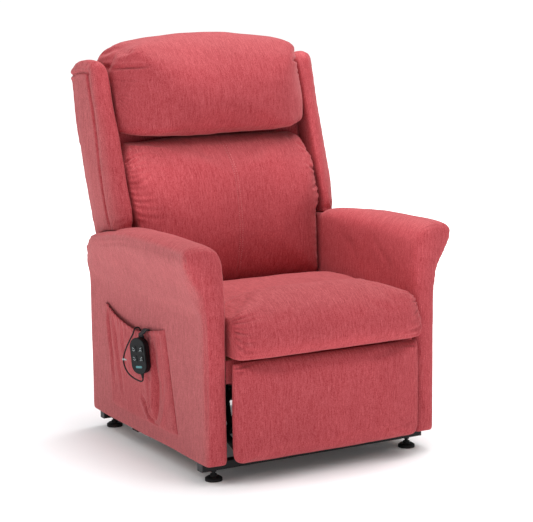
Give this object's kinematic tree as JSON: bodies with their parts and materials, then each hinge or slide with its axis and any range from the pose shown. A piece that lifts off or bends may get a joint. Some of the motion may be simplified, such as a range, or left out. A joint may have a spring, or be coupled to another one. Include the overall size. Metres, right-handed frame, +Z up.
{
  "type": "lift recliner chair",
  "caption": "Upholstered armchair with a reclining back, a fold-out leg rest, a side pocket with a wired handset, and a base that lifts and tilts the seat forward.",
  "frame": {"origin": "on the floor, under the middle of the chair's bounding box", "axes": "+Z up, the chair faces -Y, X runs across the chair (the sitter's left is +X)"},
  "size_m": [0.798, 0.822, 1.104],
  "materials": {
    "fabric_red": "matte",
    "frame_black": "satin",
    "steel_zinc": "satin",
    "rubber_black": "matte",
    "plastic_black": "satin",
    "plastic_dark": "matte",
    "timber": "matte",
    "webbing": "matte",
    "strip_teal": "gloss",
    "plastic_clear": "gloss",
    "board_green": "satin"
  },
  "bodies": {
    "base": {"base_side_rails": "frame_black", "base_cross_tubes": "frame_black", "tube_end_caps": "plastic_black", "levelling_feet": "rubber_black", "arm_rest_pads": "rubber_black", "base_pivot_lugs": "frame_black", "base_pivot_pins": "steel_zinc", "lift_motor_bracket": "frame_black"},
    "lift_arms": {"lift_arms": "frame_black", "lift_cross_tube": "frame_black"},
    "front_links": {"front_links": "frame_black"},
    "lift_motor": {"lift_motor": "plastic_dark"},
    "lift_rod": {"lift_rod": "steel_zinc"},
    "chassis": {"side_plates": "frame_black", "seat_pivot_pins": "steel_zinc", "seat_side_rails": "timber", "seat_cross_rails": "timber", "seat_webbing": "webbing", "leg_rest_hangers": "frame_black", "seat_cushion": "fabric_red", "arm_cover_left": "fabric_red", "arm_cover_right": "fabric_red", "arm_frames": "timber", "arm_bolts": "steel_zinc", "side_pocket": "fabric_red", "rear_panel": "fabric_red", "handset_strap": "webbing", "handset_front": "plastic_black", "handset_back": "plastic_black", "handset_board": "board_green", "handset_strip": "strip_teal", "handset_strain_relief": "rubber_black", "handset_cord": "rubber_black", "cord_gland": "rubber_black", "cable_clip": "plastic_clear", "control_box": "plastic_dark", "mains_inlet": "plastic_black", "recline_motor_bracket": "frame_black"},
    "button_back_up": {"button_back_up": "plastic_dark"},
    "button_back_down": {"button_back_down": "plastic_dark"},
    "button_legs_up": {"button_legs_up": "plastic_dark"},
    "button_legs_down": {"button_legs_down": "plastic_dark"},
    "recline_motor": {"recline_motor": "plastic_dark"},
    "recline_rod": {"recline_rod": "steel_zinc"},
    "backrest": {"back_frame": "timber", "back_webbing": "webbing", "back_hinge_plates": "steel_zinc", "recline_lever": "steel_zinc", "back_rear_cover": "fabric_red", "wing_left": "fabric_red", "wing_right": "fabric_red", "head_pillow": "fabric_red", "lumbar_cushion": "fabric_red"},
    "leg_upper": {"leg_links_upper": "frame_black"},
    "leg_lower": {"leg_links_lower": "frame_black"},
    "leg_guide": {"leg_links_guide": "frame_black"},
    "leg_level": {"leg_links_level": "frame_black"},
    "leg_rest": {"leg_rest_pad": "fabric_red", "leg_rest_board": "timber", "leg_rest_ribs": "frame_black"}
  },
  "joints": [
    {"name": "lift", "type": "hinge", "parent": "base", "child": "lift_arms", "pos_m": [0, -0.194, 0.094], "axis": [1, 0, 0], "range_deg": [0, 49]},
    {"name": "lift_seat", "type": "hinge", "parent": "lift_arms", "child": "chassis", "pos_m": [0, 0.318, 0.162], "axis": [1, 0, 0], "range_deg": [-23.5, 0]},
    {"name": "front_link", "type": "hinge", "parent": "base", "child": "front_links", "pos_m": [0, -0.26, 0.07], "axis": [1, 0, 0], "range_deg": [0, 56.1]},
    {"name": "lift_motor_tilt", "type": "hinge", "parent": "base", "child": "lift_motor", "pos_m": [0, 0.285, 0.07], "axis": [1, 0, 0], "range_deg": [0, 1.2]},
    {"name": "lift_stroke", "type": "slide", "parent": "lift_motor", "child": "lift_rod", "axis": [0, -0.9853, 0.171], "range_m": [0, 0.048]},
    {"name": "recline", "type": "hinge", "parent": "chassis", "child": "backrest", "pos_m": [0, 0.16, 0.33], "axis": [-1, 0, 0], "range_deg": [0, 35]},
    {"name": "recline_motor_tilt", "type": "hinge", "parent": "chassis", "child": "recline_motor", "pos_m": [0, -0.095, 0.236], "axis": [1, 0, 0], "range_deg": [-1.2, 0]},
    {"name": "recline_stroke", "type": "slide", "parent": "recline_motor", "child": "recline_rod", "axis": [0, 0.9959, 0.0899], "range_m": [-0.0455, 0]},
    {"name": "leg_rest", "type": "hinge", "parent": "chassis", "child": "leg_upper", "pos_m": [0, -0.15, 0.28], "axis": [-1, 0, 0], "range_deg": [0, 63]},
    {"name": "leg_elbow", "type": "hinge", "parent": "leg_upper", "child": "leg_lower", "pos_m": [0, -0.188, 0.096], "axis": [-1, 0, 0], "range_deg": [-92.5, 0]},
    {"name": "leg_panel", "type": "hinge", "parent": "leg_lower", "child": "leg_rest", "pos_m": [0, -0.315, 0.235], "axis": [-1, 0, 0], "range_deg": [0, 119.5]},
    {"name": "leg_guide", "type": "hinge", "parent": "chassis", "child": "leg_guide", "pos_m": [0, -0.221, 0.29], "axis": [-1, 0, 0], "range_deg": [0, 76]},
    {"name": "leg_level", "type": "hinge", "parent": "leg_upper", "child": "leg_level", "pos_m": [0, -0.159, 0.142], "axis": [-1, 0, 0], "range_deg": [-91.6, 0]},
    {"name": "press_back_up", "type": "slide", "parent": "chassis", "child": "button_back_up", "axis": [0.9272, 0.3746, 0], "range_m": [0, 0.001], "stiffness_N_per_m": 1200},
    {"name": "press_back_down", "type": "slide", "parent": "chassis", "child": "button_back_down", "axis": [0.9272, 0.3746, 0], "range_m": [0, 0.001], "stiffness_N_per_m": 1200},
    {"name": "press_legs_up", "type": "slide", "parent": "chassis", "child": "button_legs_up", "axis": [0.9272, 0.3746, 0], "range_m": [0, 0.001], "stiffness_N_per_m": 1200},
    {"name": "press_legs_down", "type": "slide", "parent": "chassis", "child": "button_legs_down", "axis": [0.9272, 0.3746, 0], "range_m": [0, 0.001], "stiffness_N_per_m": 1200}
  ],
  "couplings": [
    {"joint": "lift_seat", "follows": "lift", "ratio": -0.47873},
    {"joint": "front_link", "follows": "lift", "ratio": 1.1431},
    {"joint": "lift_motor_tilt", "follows": "lift", "ratio": 0.0239},
    {"joint": "lift_stroke", "follows": "lift", "m_per_rad": 0.05598},
    {"joint": "recline_motor_tilt", "follows": "recline", "ratio": -0.0322},
    {"joint": "recline_stroke", "follows": "recline", "m_per_rad": -0.074},
    {"joint": "leg_elbow", "follows": "leg_rest", "ratio": -1.4667},
    {"joint": "leg_panel", "follows": "leg_rest", "ratio": 1.8952},
    {"joint": "leg_guide", "follows": "leg_rest", "ratio": 1.204},
    {"joint": "leg_level", "follows": "leg_rest", "ratio": -1.453}
  ]
}
